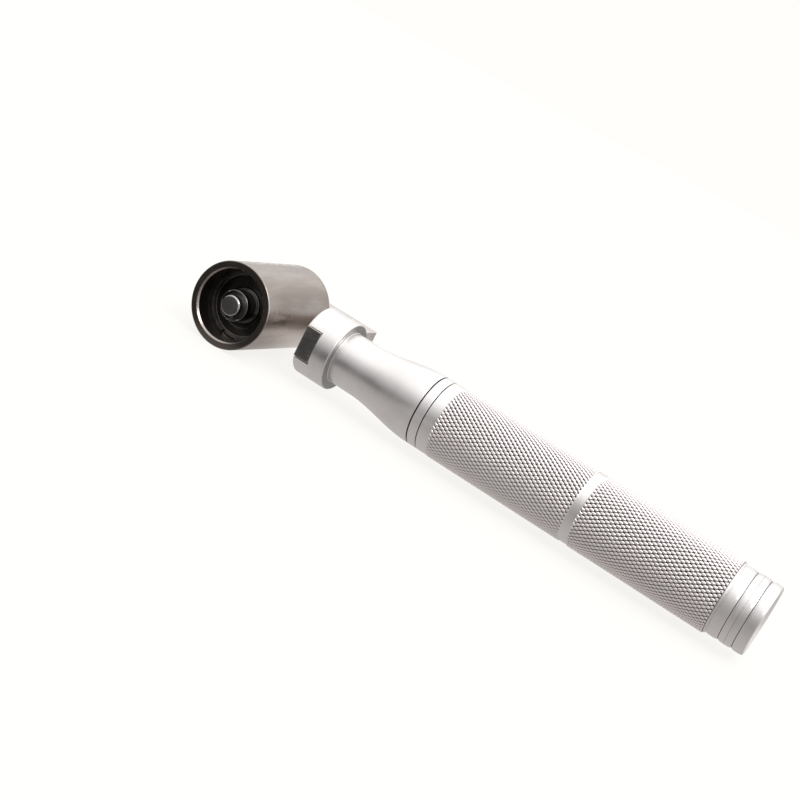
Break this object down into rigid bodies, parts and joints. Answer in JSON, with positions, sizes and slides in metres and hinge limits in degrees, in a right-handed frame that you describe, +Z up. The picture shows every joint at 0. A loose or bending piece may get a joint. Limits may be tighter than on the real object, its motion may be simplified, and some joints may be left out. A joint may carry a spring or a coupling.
{
  "type": "seam roller",
  "caption": "Hand seam roller: a ball-bearing steel roller held from one side by an L-shaped bar, on a turned and knurled aluminium handle.",
  "frame": {"origin": "on the surface that the roller rests on, under the middle of the bounding box", "axes": "+X along the handle from the roller to the tail cap, Y along the roller's axle with the bracket's arm on the +Y side, +Z up"},
  "size_m": [0.213, 0.0612, 0.03],
  "materials": {
    "roller_steel": "fine ground stainless steel with a soft satin sheen",
    "bearing_steel": "ground bearing steel",
    "spring_steel": "dark phosphated spring steel",
    "axle_steel": "turned bright steel",
    "bar_steel": "polished flat bar with crisp edges",
    "fastener_steel": "bright stainless fasteners",
    "handle_aluminium": "satin turned aluminium with a fine diamond knurl"
  },
  "bodies": {
    "handle_and_bracket": {"handle_neck": "handle_aluminium", "knurled_grip": "handle_aluminium", "tail_cap": "handle_aluminium", "bracket_screw": "fastener_steel", "bracket": "bar_steel", "axle": "axle_steel", "axle_nut": "fastener_steel", "open_side_sleeve": "axle_steel", "arm_side_sleeve": "axle_steel", "inner_ring_spacer": "axle_steel", "axle_tip_retaining_ring": "spring_steel", "open_side_bearing_inner_ring": "bearing_steel", "arm_side_bearing_inner_ring": "bearing_steel"},
    "roller": {"roller_drum": "roller_steel", "open_side_bearing_outer_ring": "bearing_steel", "open_side_bearing_front_shield": "bearing_steel", "open_side_bearing_back_shield": "bearing_steel", "open_side_bore_retaining_ring": "spring_steel", "arm_side_bearing_outer_ring": "bearing_steel", "arm_side_bearing_front_shield": "bearing_steel", "arm_side_bearing_back_shield": "bearing_steel", "arm_side_bore_retaining_ring": "spring_steel"},
    "open_side_ball_set": {"open_side_bearing_cage": "spring_steel", "open_side_bearing_ball_1": "bearing_steel", "open_side_bearing_ball_2": "bearing_steel", "open_side_bearing_ball_3": "bearing_steel", "open_side_bearing_ball_4": "bearing_steel", "open_side_bearing_ball_5": "bearing_steel", "open_side_bearing_ball_6": "bearing_steel", "open_side_bearing_ball_7": "bearing_steel"},
    "arm_side_ball_set": {"arm_side_bearing_cage": "spring_steel", "arm_side_bearing_ball_1": "bearing_steel", "arm_side_bearing_ball_2": "bearing_steel", "arm_side_bearing_ball_3": "bearing_steel", "arm_side_bearing_ball_4": "bearing_steel", "arm_side_bearing_ball_5": "bearing_steel", "arm_side_bearing_ball_6": "bearing_steel", "arm_side_bearing_ball_7": "bearing_steel"}
  },
  "joints": [
    {"name": "roller_spin", "type": "hinge", "parent": "handle_and_bracket", "child": "roller", "pos_m": [-0.0915, -0.00807, 0.015], "axis": [0, 1, 0], "continuous": true},
    {"name": "open_side_cage_turn", "type": "hinge", "parent": "handle_and_bracket", "child": "open_side_ball_set", "pos_m": [-0.0915, -0.00807, 0.015], "axis": [0, 1, 0], "continuous": true},
    {"name": "arm_side_cage_turn", "type": "hinge", "parent": "handle_and_bracket", "child": "arm_side_ball_set", "pos_m": [-0.0915, -0.00807, 0.015], "axis": [0, 1, 0], "continuous": true}
  ],
  "couplings": [
    {"joint": "open_side_cage_turn", "follows": "roller_spin", "ratio": 0.649},
    {"joint": "arm_side_cage_turn", "follows": "roller_spin", "ratio": 0.649}
  ]
}
